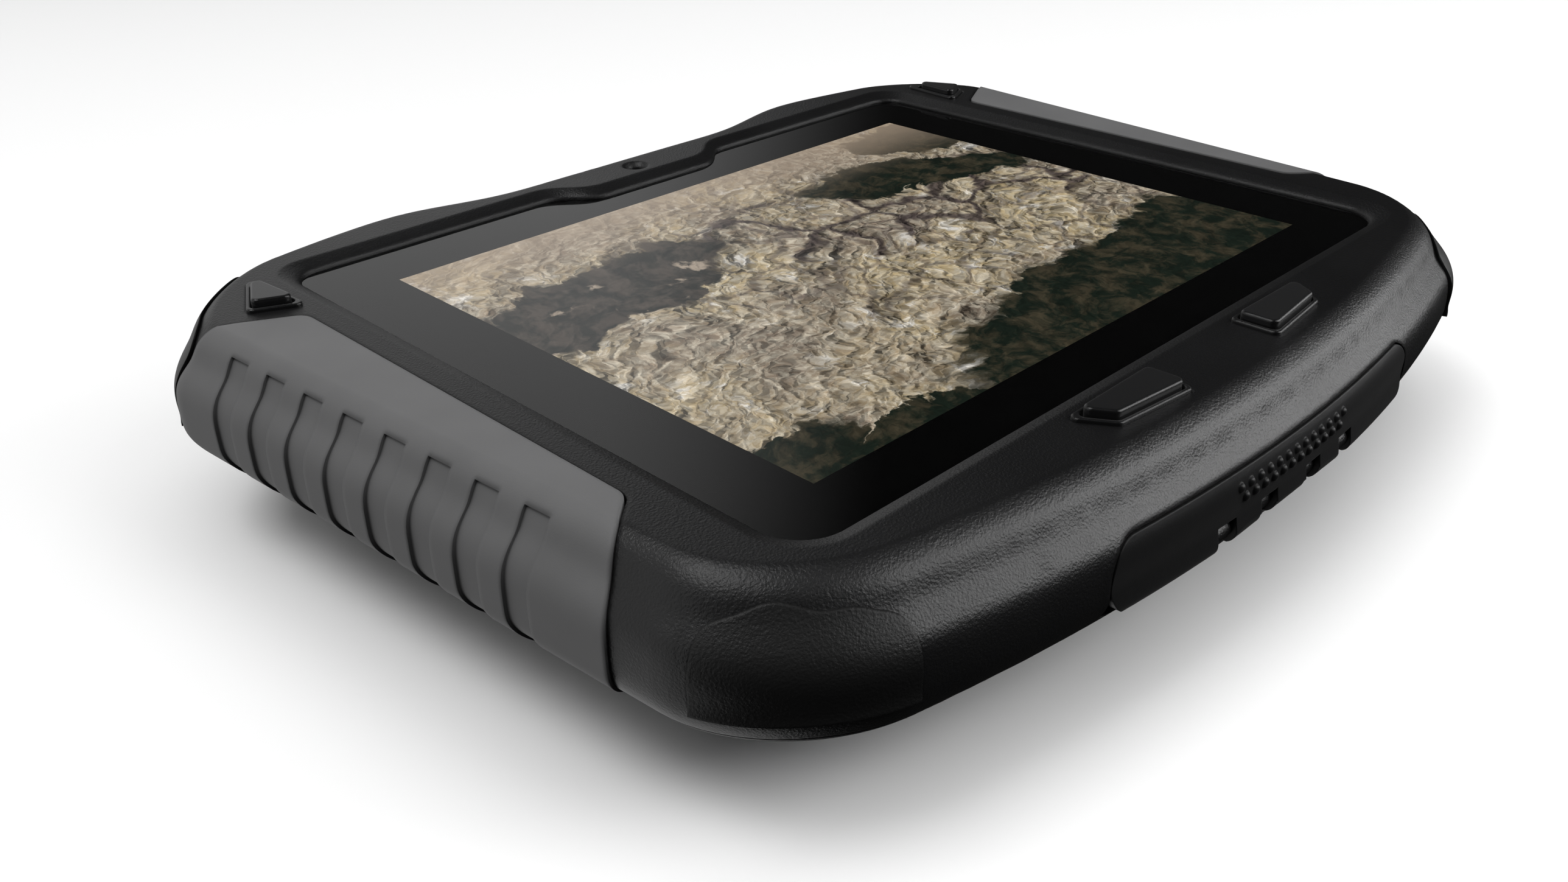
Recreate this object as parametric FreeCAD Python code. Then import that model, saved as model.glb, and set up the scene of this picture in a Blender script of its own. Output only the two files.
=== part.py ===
import FreeCAD, Part
import math
import os

from FreeCAD import Vector

# A rugged, tablet-shaped field data collector, lying on its back. Millimetres.
# +X is to the user's right, +Y is up the screen, +Z is out of the screen.
# The origin is under the middle of the picture, on the plane that the back rests on.

# Heights above the resting plane
BACK_FACE = 0.0
PARTING = 15.5
GLASS_TOP = 31.5
TOP_FACE = 33.1
CEILING = 30.4

# Plan of the top face: the line where it turns down into the sides
FRONT_Y = -67.8
FRONT_RADIUS = 300.0
FRONT_END_ANGLE = math.radians(12.3)
SIDE_X = 83.4
SIDE_TAPER = 0.084
FRONT_CORNER_Y = -45.0
REAR_CORNER_Y = 43.0
REAR_END = (68.6, 62.7)
REAR_END_SLOPE = -0.2
REAR_WAVE = [(56.0, 64.9), (45.0, 65.6), (35.5, 63.6), (27.0, 61.6), (16.0, 61.2)]
FRONT_CORNER_PULL = 0.56
REAR_CORNER_PULL = 0.44

# How far each side stands out past that line at the widest height
SIDE_OVERHANG = 6.5
FRONT_OVERHANG = 7.6
REAR_OVERHANG = 2.0

# Profile of every side: height, share of the overhang, and inset
PROFILE = [
    (TOP_FACE, 0.0, 0.85),
    (32.95, 0.0, 0.15),
    (32.5, 0.1, 0.0),
    (29.5, 0.48, 0.0),
    (26.6, 0.82, 0.0),
    (24.6, 0.96, 0.0),
    (22.5, 1.0, 0.0),
    (19.5, 1.0, 0.0),
    (PARTING, 1.0, 1.5),
    (13.0, 1.0, 3.9),
    (11.0, 1.0, 6.4),
    (9.6, 1.0, 8.4),
    (6.0, 1.0, 13.6),
    (2.4, 1.0, 18.8),
    (0.9, 1.0, 20.8),
    (BACK_FACE, 1.0, 21.9),
]

# Casing
SEAM = 0.2
LINER_WALL = 1.6
GASKET_OUTER = 3.7
GASKET_INNER = 4.4
GASKET_HALF_HEIGHT = 0.5

# Window and cover glass
WINDOW_X = 69.6
WINDOW_FRONT = -53.9
WINDOW_REAR = 55.5
WINDOW_FRONT_RADIUS = 6.5
WINDOW_REAR_RADIUS = 4.5
NOTCH_Y = 50.0
NOTCH_X = 11.0
NOTCH_RUN = 11.0
BEZEL_WIDTH = 2.45
GLASS_THICK = 1.1
GLASS_LAP = 0.9
SEAL_WIDTH = 1.0

# Eyelet tab at the middle of the rear edge
EYELET_Y = 56.5
EYELET_RADIUS = 1.65
EYELET_COUNTERSINK = 2.5
TAB_THICK = 1.5
TAB_POCKET_X = 9.5
TAB_POCKET_Y = 52.8

# Picture area and display
PICTURE = (115.2, 88.4)
DISPLAY_BORDER = 3.4
DISPLAY_THICK = 3.4

# Grips
GRIP_INNER_X = 76.2
GRIP_PROUD = 0.5
GRIP_DEPTH = 1.5
GRIP_BOTTOM = 10.4
GRIP_GAP = 0.25
GROOVE_COUNT = 8
GROOVE_PITCH = 8.7
GROOVE_WIDTH = 4.3
GROOVE_DEPTH = 0.5
GROOVE_FIRST_Y = 33.9
GROOVE_TOP = 31.6

# Corner pads: the wavy inner edge of each in plan, on the left
PAD_PROUD = 0.55
PAD_DEPTH = 1.2
PAD_BOTTOM = PARTING + 3.4
FRONT_PAD_EDGE = [
    (-88.0, -53.4), (-84.6, -52.6), (-82.6, -52.4), (-81.0, -53.6), (-79.2, -55.2), (-77.2, -56.7),
    (-75.5, -58.6), (-73.7, -60.6), (-72.0, -61.7), (-70.4, -62.7), (-68.6, -64.1), (-67.0, -65.5),
    (-66.6, -67.2), (-67.4, -69.4),
]
REAR_PAD_EDGE = [
    (-92.0, 46.4), (-89.0, 47.0), (-87.2, 49.0), (-85.6, 51.8), (-83.4, 54.3), (-80.9, 56.6),
    (-77.9, 58.9), (-75.2, 61.4), (-73.0, 64.0), (-71.8, 67.0), (-71.6, 70.0),
]
PAD_REACH = 110.0

# Keys
KEY_TOP = 34.8
KEY_TRAVEL = 0.8
KEY_GAP = 0.3
COLLAR_TOP = 33.65
COLLAR_WIDTH = 0.8
FLANGE_TOP = 30.1
FLANGE_THICK = 0.9
FLANGE_WIDTH = 1.0
KEY_ROUND = 1.0
KEY_EDGE = 0.4
LONG_KEY = [(-27.5, -59.1), (-24.9, -63.3), (-11.7, -64.6), (-11.7, -58.9)]
CORNER_KEY = [(-76.4, 54.2), (-81.0, 44.8), (-75.3, 42.2)]
DOME_RADIUS = 2.0
DOME_THICK = 0.7
BOARD_THICK = 0.8

# Port door: a rounded strip in the front side
DOOR_X = 38.7
DOOR_BOTTOM = PARTING + 0.5
DOOR_TOP = 26.0
DOOR_THICK = 2.2
DOOR_GAP = 0.3
KNUCKLE_GAP = 0.5
DOOR_FLOOR_GAP = 0.35
STUD_RADIUS = 0.75
STUD_PITCH = 2.3
STUD_ROWS = [(24.0, 13), (22.5, 12)]
HINGE_Z = 18.0
HINGE_Y = -73.2
HINGE_PIN_RADIUS = 0.6
HINGE_FIT = 0.05
BARREL_RADIUS = 1.5
BARREL = (8.0, 14.0)
LUG_WIDTH = 3.5
HINGE_ROUND = 2.25
HINGE_SWEEP = 2.6

# Port block behind the door
PORT_WALL_Y = -66.6
PORT_Z = 21.6
PORT_BLOCK_X = 41.0
SOCKET_Y = -70.4
SOCKET_DEPTH = 12.0
SOCKET_TONGUE = 0.7
USB_A_X = -26.0
USB_C_X = 0.0
POWER_X = 25.0

# Boards, display frame and battery
CHASSIS = (128.0, 100.0)
CHASSIS_TOP = 26.8
CHASSIS_THICK = 1.5
BOARD = (118.0, 88.0)
BOARD_TOP = 22.6
FLEX_X = 12.0
FLEX_THICK = 0.5
MAIN_BOARD_THICK = 1.6
BATTERY_BAY = (-48.0, 48.0, -44.0, 0.0)
BAY_TOP = 15.2
BATTERY_BOTTOM = 5.0
BATTERY_TOP = 14.6
LID_THICK = 2.0
LATCH_X = 34.0
LATCH_Y = -5.6
LATCH_RADIUS = 4.5
LATCH_SHAFT = 2.5
LATCH_FIT = 0.08
LATCH_REACH = 10.4

# Fastenings
SCREWS = [(76.0, 26.0), (76.0, -20.0), (60.0, -56.5), (57.0, 55.5)]
SCREW_RADIUS = 1.5
SCREW_LENGTH = 9.0
SCREW_SEAT = 13.0
SCREW_HEAD_RADIUS = 2.9
SCREW_HEAD_THICK = 2.2
POST_RADIUS = 3.4
BOSS_RADIUS = 4.4
BOARD_SCREWS = [(55.0, 40.0), (55.0, -40.0)]
INSERT_SPACING = (38.05, 30.17)
INSERT_CENTRE_Y = 21.5
INSERT_RADIUS = 3.0
INSERT_HOLE = 1.65
INSERT_DEPTH = 8.0

# Battery contacts and speaker
CONTACT_Y = -39.0
SPEAKER = (-48.0, 22.0)
SPEAKER_RADIUS = 9.0
SLOT_COUNT = 5
SLOT_PITCH = 3.0


# ---------------------------------------------------------------- helpers

def box(x0, x1, y0, y1, z0, z1):
    return Part.makeBox(x1 - x0, y1 - y0, z1 - z0, Vector(x0, y0, z0))


def rod(radius, height, base, direction=Vector(0, 0, 1)):
    return Part.makeCylinder(radius, height, base, direction)


def mirrored(shape):
    """The same shape on the other side of the middle plane."""
    return shape.mirror(Vector(0, 0, 0), Vector(1, 0, 0))


def both_sides(shape):
    return Part.makeCompound([shape, mirrored(shape)])


def rounded_plate(x0, x1, y0, y1, z0, z1, radius):
    plate = box(x0, x1, y0, y1, z0, z1)
    upright = [e for e in plate.Edges if abs(e.Vertexes[0].Z - e.Vertexes[1].Z) > (z1 - z0) / 2]
    return plate.makeFillet(radius, upright)


def prism(points, z0, z1, radius=0.0, grow=0.0):
    """An upright prism on a polygon, grown outwards, with its upright edges rounded."""
    flat = [Vector(x, y, z0) for x, y in points]
    outline = Part.makePolygon(flat + [flat[0]])
    if grow:
        outline = outline.makeOffset2D(grow, 2)
    solid = Part.Face(outline).extrude(Vector(0, 0, z1 - z0))
    if radius:
        upright = [e for e in solid.Edges if abs(e.Vertexes[0].Z - e.Vertexes[1].Z) > (z1 - z0) / 2]
        solid = solid.makeFillet(radius, upright)
    return solid


def only_solids(shape):
    """The solids of a boolean's result, as one solid or a group."""
    solids = shape.Solids
    if len(solids) == 1:
        return solids[0]
    return Part.makeCompound(solids)


def largest(shape):
    return max(shape.Solids, key=lambda solid: solid.Volume)


# ---------------------------------------------------------------- outer form

def curve(points):
    bezier = Part.BezierCurve()
    bezier.setPoles(points)
    return bezier.toShape()


def corner(start, tip, end, pull):
    """A corner curve that leaves both of its ends along the sides next to it."""
    return curve([start, start + (tip - start) * pull, end + (tip - end) * pull, end])


def outline(z, side, front, rear):
    """The closed plan of the body at height z, grown outwards by these amounts."""
    centre_y = FRONT_Y + FRONT_RADIUS
    radius = FRONT_RADIUS + front
    front_end = Vector(radius * math.sin(FRONT_END_ANGLE), centre_y - radius * math.cos(FRONT_END_ANGLE), z)
    front_mid = Vector(0, centre_y - radius, z)

    def side_point(y):
        return Vector(SIDE_X + side + SIDE_TAPER * y, y, z)

    low = side_point(FRONT_CORNER_Y - 0.45 * min(front, side))
    high = side_point(REAR_CORNER_Y + 0.25 * min(rear, side))
    slope = math.tan(FRONT_END_ANGLE)
    run = (side_point(front_end.y).x - front_end.x) / (1 - SIDE_TAPER * slope)
    front_tip = Vector(front_end.x + run, front_end.y + slope * run, z)
    rear_end = Vector(REAR_END[0] + 0.5 * side, REAR_END[1] + rear, z)
    run = (side_point(rear_end.y).x - rear_end.x) / (1 - SIDE_TAPER * REAR_END_SLOPE)
    rear_tip = Vector(rear_end.x + run, rear_end.y + REAR_END_SLOPE * run, z)

    wave = [rear_end] + [Vector(x, y + rear, z) for x, y in REAR_WAVE]
    wave = wave + [Vector(0, REAR_WAVE[-1][1] + rear, z)]
    wave = wave + [Vector(-p.x, p.y, z) for p in reversed(wave[:-1])]
    rear_curve = Part.BSplineCurve()
    lean = Vector(-1, -REAR_END_SLOPE, 0)
    rear_curve.interpolate(Points=wave, InitialTangent=lean, FinalTangent=Vector(-1, REAR_END_SLOPE, 0))

    def flip(point):
        return Vector(-point.x, point.y, z)

    edges = [
        Part.Arc(flip(front_end), front_mid, front_end).toShape(),
        corner(front_end, front_tip, low, FRONT_CORNER_PULL),
        Part.LineSegment(low, high).toShape(),
        corner(high, rear_tip, rear_end, REAR_CORNER_PULL),
        rear_curve.toShape(),
        corner(flip(rear_end), flip(rear_tip), flip(high), REAR_CORNER_PULL),
        Part.LineSegment(flip(high), flip(low)).toShape(),
        corner(flip(low), flip(front_tip), flip(front_end), FRONT_CORNER_PULL),
    ]
    return Part.Wire(edges)


def body(grow=0.0, low=BACK_FACE, lift=0.0):
    """The whole outer form, grown outwards, from the height low up to the top face."""
    sections = []
    for height, share, inset in PROFILE:
        if height >= low:
            rise = lift if height > 32.0 else 0.0
            sections.append(outline(
                height + rise,
                share * SIDE_OVERHANG - inset + grow,
                share * FRONT_OVERHANG - inset + grow,
                share * REAR_OVERHANG - inset + grow,
            ))
    return Part.makeLoft(list(reversed(sections)), True, False)


def front_surface_y(z, x, grow=0.0):
    """Where the front side's outer surface is at height z, x across from the middle."""
    rows = sorted(PROFILE)
    for (z0, share0, inset0), (z1, share1, inset1) in zip(rows, rows[1:]):
        if z0 <= z <= z1:
            part = (z - z0) / (z1 - z0)
            out = (share0 + part * (share1 - share0)) * FRONT_OVERHANG - inset0 - part * (inset1 - inset0)
            return FRONT_Y + FRONT_RADIUS - math.sqrt((FRONT_RADIUS + out + grow) ** 2 - x * x)


def window(z, grow):
    """The plan of the opening over the glass, with its notch under the eyelet tab."""
    x = WINDOW_X + grow
    front = WINDOW_FRONT - grow
    rear = WINDOW_REAR + grow
    notch = NOTCH_Y + grow
    r_front = WINDOW_FRONT_RADIUS + grow / 2
    r_rear = WINDOW_REAR_RADIUS + grow / 2
    inner = NOTCH_X - 0.2 * grow
    outer = NOTCH_X + NOTCH_RUN + 0.2 * grow

    def at(px, py):
        return Vector(px, py, z)

    def half(sign):
        low = [at(sign * (x - r_front), front), at(sign * x, front), at(sign * x, front + r_front)]
        high = [at(sign * x, rear - r_rear), at(sign * x, rear), at(sign * (x - r_rear), rear)]
        mid = (inner + outer) / 2
        wave = [at(sign * outer, rear), at(sign * mid, rear), at(sign * mid, notch), at(sign * inner, notch)]
        return low, high, wave

    low, high, wave = half(1)
    low_l, high_l, wave_l = half(-1)
    edges = [
        Part.LineSegment(low_l[0], low[0]).toShape(),
        corner(low[0], low[1], low[2], 0.5523),
        Part.LineSegment(low[2], high[0]).toShape(),
        corner(high[0], high[1], high[2], 0.5523),
        Part.LineSegment(high[2], wave[0]).toShape(),
        curve(wave),
        Part.LineSegment(wave[3], wave_l[3]).toShape(),
        curve(list(reversed(wave_l))),
        Part.LineSegment(wave_l[0], high_l[2]).toShape(),
        corner(high_l[2], high_l[1], high_l[0], 0.5523),
        Part.LineSegment(high_l[0], low_l[2]).toShape(),
        corner(low_l[2], low_l[1], low_l[0], 0.5523),
    ]
    return Part.Wire(edges)


def window_plate(z0, z1, grow):
    return Part.Face(window(z0, grow)).extrude(Vector(0, 0, z1 - z0))


# ---------------------------------------------------------------- shared cutting shapes

def space(rows):
    """A hollow lofted through plans: height and how far each side stands out."""
    return Part.makeLoft([outline(*row) for row in reversed(rows)], True, True)


def upper_space():
    """The space inside the front shell."""
    return space([
        (CEILING, -1.5, -1.5, -2.8),
        (26.0, 2.5, 2.9, -1.5),
        (23.0, 3.2, 4.2, -1.2),
        (PARTING, 1.6, 2.7, -2.9),
    ])


def lower_space():
    """The space inside the rear shell."""
    return space([
        (PARTING, 1.6, 2.7, -2.9),
        (12.6, -0.9, 0.1, -4.8),
        (9.6, -7.0, -6.0, -8.6),
        (3.4, -15.6, -14.6, -19.0),
    ])


def grip_region(gap=0.0):
    """An upright prism over the left side that takes in the grip."""
    far = 110.0
    corners = [
        (-GRIP_INNER_X + gap, -33.3 - gap),
        (-GRIP_INNER_X + gap, 37.9 + gap),
        (-84.7, 42.4 + gap),
        (-95.0, 46.6 + gap),
        (-far, 46.6 + gap),
        (-far, -46.0 - gap),
        (-89.5, -43.6 - gap),
        (-80.4, -37.2 - gap),
    ]
    region = prism(corners, GRIP_BOTTOM - gap, TOP_FACE + 5.0)
    inner = [e for e in region.Edges
             if abs(e.Vertexes[0].Z - e.Vertexes[1].Z) > 5 and e.CenterOfMass.x > -GRIP_INNER_X - 1.0]
    return region.makeFillet(3.0, inner)


def pad_region(edge, gap=0.0):
    """An upright prism over one left corner, bounded inwards by the pad's wavy edge."""
    wave = Part.BSplineCurve()
    wave.interpolate([Vector(x, y, PAD_BOTTOM - gap) for x, y in edge])
    first, last = edge[0], edge[-1]
    reach = math.copysign(PAD_REACH, first[1])
    rim = Part.makePolygon([
        Vector(last[0], last[1], PAD_BOTTOM - gap),
        Vector(last[0], reach, PAD_BOTTOM - gap),
        Vector(-PAD_REACH, reach, PAD_BOTTOM - gap),
        Vector(-PAD_REACH, first[1], PAD_BOTTOM - gap),
        Vector(first[0], first[1], PAD_BOTTOM - gap),
    ])
    face = Part.Face(Part.Wire([wave.toShape()] + rim.Edges))
    return face.extrude(Vector(0, 0, TOP_FACE - PAD_BOTTOM + gap + 2.0))


def door_strip(gap=0.0, reach=12.0):
    """A rounded strip, as seen from the front, that passes through the front side."""
    x = DOOR_X + gap
    top = DOOR_TOP + gap
    bottom = DOOR_BOTTOM - gap
    strip = box(-x, x, FRONT_Y - FRONT_OVERHANG - 4.0, FRONT_Y - FRONT_OVERHANG + reach, bottom, top)
    ends = [e for e in strip.Edges if abs(e.Vertexes[0].Y - e.Vertexes[1].Y) > reach]
    return strip.makeFillet((top - bottom) / 2 - 0.6, ends)


def hinge_rod(radius, x0, x1):
    return rod(radius, x1 - x0, Vector(x0, HINGE_Y, HINGE_Z), Vector(1, 0, 0))


def lug_spans():
    """The stretches along the hinge, on the right, that its fixed lugs take up."""
    inner = BARREL[0] - DOOR_GAP
    outer = BARREL[1] + DOOR_GAP
    return [(inner - LUG_WIDTH, inner), (outer, outer + LUG_WIDTH)]


KEYS = {
    "key_left": LONG_KEY,
    "key_right": [(-x, y) for x, y in LONG_KEY],
    "key_up_left": CORNER_KEY,
    "key_up_right": [(-x, y) for x, y in CORNER_KEY],
}


def key_centre(points):
    return sum(x for x, y in points) / len(points), sum(y for x, y in points) / len(points)


# ---------------------------------------------------------------- casing

def grip():
    """The left grip: a soft skin over the side, with upright grooves for the fingers."""
    outer = body(GRIP_PROUD, low=9.0, lift=0.15)
    inner = body(-GRIP_DEPTH, low=9.0, lift=-GRIP_DEPTH)
    floor = body(GRIP_PROUD - GROOVE_DEPTH, low=9.0)
    skin = outer.common(grip_region()).cut(inner)
    lean = math.degrees(math.atan(SIDE_TAPER))
    grooves = []
    for index in range(GROOVE_COUNT):
        y = GROOVE_FIRST_Y - index * GROOVE_PITCH
        slab = box(-110.0, -70.0, -GROOVE_WIDTH / 2, GROOVE_WIDTH / 2, 5.0, GROOVE_TOP)
        slab.rotate(Vector(-86.0, 0, 0), Vector(0, 0, 1), lean)
        slab.translate(Vector(0, y, 0))
        grooves.append(slab)
    return largest(skin.cut(Part.makeCompound(grooves).cut(floor)))


def corner_pad(edge):
    """One left corner's rubber pad, standing a little proud of the casing."""
    shell = body(PAD_PROUD, low=PARTING - 3.0).cut(body(-PAD_DEPTH, low=PARTING - 3.0, lift=-PAD_DEPTH))
    return largest(shell.common(pad_region(edge)))


def casing_recesses():
    """What is let into the outside of the casing: both grips and the four pads."""
    grip_skin = grip_region(GRIP_GAP).cut(body(-GRIP_DEPTH, low=9.0, lift=-GRIP_DEPTH))
    pads = [pad_region(edge).cut(body(-PAD_DEPTH, low=PARTING - 3.0, lift=-PAD_DEPTH))
            for edge in (FRONT_PAD_EDGE, REAR_PAD_EDGE)]
    left = [grip_skin] + pads
    return Part.makeCompound(left + [mirrored(shape) for shape in left])


def tab_pocket(grow=0.0):
    """The space under the eyelet tab, open at the back and underneath."""
    half_width = TAB_POCKET_X + grow
    top = TOP_FACE - TAB_THICK + grow
    return box(-half_width, half_width, TAB_POCKET_Y - grow, 80.0, -5.0, top)


def eyelet():
    hole = rod(EYELET_RADIUS, 10.0, Vector(0, EYELET_Y, TOP_FACE - 5.0))
    sink = EYELET_COUNTERSINK - EYELET_RADIUS
    foot = Vector(0, EYELET_Y, TOP_FACE - sink)
    return hole.fuse(Part.makeCone(EYELET_RADIUS, EYELET_COUNTERSINK + 0.2, sink + 0.2, foot))


def port_openings():
    """The three sockets' ways through the wall behind the door."""
    y0, y1 = FRONT_Y - FRONT_OVERHANG, PORT_WALL_Y + 1.0
    usb_a = rounded_plate(USB_A_X - 6.8, USB_A_X + 6.8, -3.0, 3.0, 0, y1 - y0, 0.4)
    usb_c = rounded_plate(USB_C_X - 4.6, USB_C_X + 4.6, -1.75, 1.75, 0, y1 - y0, 1.7)
    jack = rod(3.1, y1 - y0, Vector(POWER_X, 0, 0))
    group = Part.makeCompound([usb_a, usb_c, jack])
    group.rotate(Vector(0, 0, 0), Vector(1, 0, 0), -90)
    group.translate(Vector(0, y0, PORT_Z))
    return group


def front_shell():
    outer = body(low=PARTING)
    port_block = box(-PORT_BLOCK_X, PORT_BLOCK_X, -90.0, PORT_WALL_Y, 0.0, CEILING)
    hollow = upper_space().cut(port_block).cut(tab_pocket(LINER_WALL))
    shell = outer.cut(hollow)

    for x, y in SCREWS:
        post = rod(POST_RADIUS, CEILING - PARTING - SEAM + 1.0, Vector(x, y, PARTING + SEAM))
        shell = shell.fuse(both_sides(post).common(outer))

    bezel = Part.makeLoft([
        window(GLASS_TOP - 0.2, 0.0),
        window(GLASS_TOP + 0.1, 0.1),
        window(GLASS_TOP + 1.2, 0.78 * BEZEL_WIDTH),
        window(TOP_FACE - 0.12, BEZEL_WIDTH + 0.15),
        window(TOP_FACE + 0.2, BEZEL_WIDTH + 1.1),
    ], True, False)
    pocket = window_plate(PARTING, GLASS_TOP, GLASS_LAP + SEAL_WIDTH)
    pocket = pocket.common(box(-100, 100, -100, 100, CEILING - 0.5, GLASS_TOP))
    shell = shell.cut(bezel).cut(pocket)
    shell = shell.cut(tab_pocket()).cut(eyelet()).cut(casing_recesses())

    recess = door_strip(DOOR_GAP).cut(body(-DOOR_THICK - DOOR_FLOOR_GAP, low=PARTING - 3.0))
    below = box(-DOOR_X + 4.0, DOOR_X - 4.0, -90.0, HINGE_Y + 3.0, 0.0, DOOR_BOTTOM + 4.0)
    recess = recess.fuse(below.cut(body(-DOOR_THICK - DOOR_FLOOR_GAP, low=PARTING - 3.0)))
    sweep = hinge_rod(HINGE_SWEEP, -DOOR_X, DOOR_X)
    shell = shell.cut(recess).cut(sweep)
    for x0, x1 in lug_spans():
        lug = hinge_rod(BARREL_RADIUS, x0, x1)
        web = box(x0, x1, HINGE_Y, HINGE_Y + 6.0, HINGE_Z - BARREL_RADIUS, HINGE_Z + BARREL_RADIUS)
        shell = shell.fuse(both_sides(lug.fuse(web)))
    for x0, x1 in lug_spans():
        shell = shell.cut(both_sides(hinge_rod(HINGE_PIN_RADIUS, x0 - 0.1, x1 + 0.1)))
    shell = shell.cut(port_openings())

    for points in KEYS.values():
        shell = shell.cut(prism(points, CEILING - 1.0, TOP_FACE + 1.0, KEY_ROUND, KEY_GAP))
        shell = shell.cut(prism(points, TOP_FACE - 0.8, TOP_FACE + 1.0, KEY_ROUND, COLLAR_WIDTH))
    for x, y in SCREWS:
        bore = rod(SCREW_RADIUS, SCREW_SEAT + SCREW_LENGTH - PARTING + 2.0, Vector(x, y, PARTING - 1.0))
        shell = shell.cut(both_sides(bore))
    shell = shell.cut(gasket_ring())
    return largest(shell)


def gasket_ring():
    """The cord that seals the seam between the two shells, broken at the port door."""
    low = PARTING - GASKET_HALF_HEIGHT
    height = 2 * GASKET_HALF_HEIGHT

    def plate(inset):
        plan = outline(low, SIDE_OVERHANG - inset, FRONT_OVERHANG - inset, REAR_OVERHANG - inset)
        return Part.Face(plan).extrude(Vector(0, 0, height))

    ring = plate(GASKET_OUTER).cut(plate(GASKET_INNER)).cut(tab_pocket(0.6))
    door_gap = box(-DOOR_X - 1.5, DOOR_X + 1.5, -90.0, HINGE_Y + 5.0, low - 1.0, low + height + 1.0)
    return only_solids(ring.cut(door_gap))


def latch_pockets(grow=0.0):
    """Room over the lip of the battery bay for each latch's cam to turn in."""
    reach = LATCH_REACH + grow
    return both_sides(box(LATCH_X - reach, LATCH_X + reach, LATCH_Y - 5.0, LATCH_Y + reach,
                          BACK_FACE + LID_THICK + 0.2 - grow, BATTERY_BOTTOM - 0.1 + grow))


def rear_shell():
    x0, x1, y0, y1 = BATTERY_BAY
    outer = body().common(box(-120, 120, -100, 100, 0, PARTING - SEAM))
    liner = box(x0 - LINER_WALL, x1 + LINER_WALL, y0 - LINER_WALL, y1 + LINER_WALL, 0, BAY_TOP + LINER_WALL)
    hollow = lower_space().cut(liner).cut(latch_pockets(LINER_WALL)).cut(tab_pocket(LINER_WALL))
    bosses = [rod(BOSS_RADIUS, PARTING - SEAM, Vector(sx * x, y, 0)) for x, y in SCREWS for sx in (-1, 1)]
    for sx in (-1, 1):
        for sy in (-1, 1):
            bosses.append(rod(INSERT_RADIUS + 1.8, BACK_FACE + INSERT_DEPTH + 2.0, insert_place(sx, sy, 0)))
    for boss in bosses:
        hollow = hollow.cut(boss)
    shell = outer.cut(hollow)
    shell = shell.fuse(liner.common(box(-120, 120, -100, 100, PARTING - SEAM - 1.0, 40)))
    shell = shell.cut(rounded_plate(x0, x1, y0, y1, BACK_FACE + LID_THICK - 0.5, BAY_TOP, 2.0))
    shell = shell.cut(latch_pockets())
    shell = shell.cut(lid_plate(0.2))
    for x, y in SCREWS:
        shell = shell.cut(both_sides(rod(SCREW_RADIUS + 0.3, 30.0, Vector(x, y, 0))))
        shell = shell.cut(both_sides(rod(SCREW_HEAD_RADIUS + 0.4, SCREW_SEAT, Vector(x, y, 0))))
    for sx in (-1, 1):
        for sy in (-1, 1):
            shell = shell.cut(rod(INSERT_RADIUS, INSERT_DEPTH, insert_place(sx, sy, BACK_FACE)))
    shell = shell.cut(tab_pocket()).cut(casing_recesses())
    shell = shell.cut(speaker_slots())
    shell = shell.cut(speaker_seat())
    for x in contact_places():
        shell = shell.cut(rod(0.8, 6.0, Vector(x, CONTACT_Y, BAY_TOP - 1.0)))
    return largest(shell.cut(gasket_ring()))


def insert_place(sx, sy, z):
    return Vector(sx * INSERT_SPACING[0] / 2, INSERT_CENTRE_Y + sy * INSERT_SPACING[1] / 2, z)


def contact_places():
    return [-40.0 + 3.2 * index for index in range(5)]


def speaker_slots():
    slots = []
    for index in range(SLOT_COUNT):
        y = SPEAKER[1] + (index - (SLOT_COUNT - 1) / 2) * SLOT_PITCH
        slots.append(rounded_plate(SPEAKER[0] - 6.0, SPEAKER[0] + 6.0, y - 0.7, y + 0.7, 0.0, 6.0, 0.65))
    return Part.makeCompound(slots)


def speaker_seat():
    return rod(SPEAKER_RADIUS + 0.1, 2.0, Vector(SPEAKER[0], SPEAKER[1], 2.6))


def lid_plate(grow=0.0):
    """The battery cover's plate, let in flush with the back face."""
    x0, x1, y0, y1 = BATTERY_BAY
    lap = 2.6 + grow
    return rounded_plate(x0 - lap, x1 + lap, y0 - lap, y1 + lap, BACK_FACE - grow, BACK_FACE + LID_THICK, 4.0)


def battery_door():
    plate = lid_plate()
    for sx in (-1, 1):
        centre = Vector(sx * LATCH_X, LATCH_Y, 0)
        plate = plate.cut(rod(LATCH_RADIUS + 0.2, BACK_FACE + 1.1, centre))
        plate = plate.cut(rod(LATCH_SHAFT + LATCH_FIT, 10.0, centre))
    return largest(plate)


def battery_seal():
    """A flat rubber frame on the inside of the battery cover."""
    x0, x1, y0, y1 = BATTERY_BAY
    low, high = BACK_FACE + LID_THICK, BACK_FACE + LID_THICK + 0.8
    outer = rounded_plate(x0 + 0.4, x1 - 0.4, y0 + 0.4, LATCH_Y - 6.0, low, high, 1.6)
    inner = rounded_plate(x0 + 2.4, x1 - 2.4, y0 + 2.4, LATCH_Y - 8.0, low - 1, high + 1, 1.0)
    return outer.cut(inner)


def battery_latch():
    """The right latch: a slotted button outside, a shaft, and a cam that hooks over the bay's lip."""
    button = rod(LATCH_RADIUS, 0.9, Vector(LATCH_X, LATCH_Y, BACK_FACE + 0.1))
    shaft = rod(LATCH_SHAFT, 3.4, Vector(LATCH_X, LATCH_Y, BACK_FACE + 0.2))
    cam_low = BACK_FACE + LID_THICK + 0.5
    cam = rounded_plate(LATCH_X - 2.6, LATCH_X + 2.6, LATCH_Y - 3.0, LATCH_Y + LATCH_REACH - 0.8,
                        cam_low, cam_low + 1.1, 1.5)
    slot = box(LATCH_X - 0.7, LATCH_X + 0.7, LATCH_Y - 3.6, LATCH_Y + 3.6, 0.0, BACK_FACE + 0.7)
    return button.fuse([shaft, cam]).cut(slot)


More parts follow.
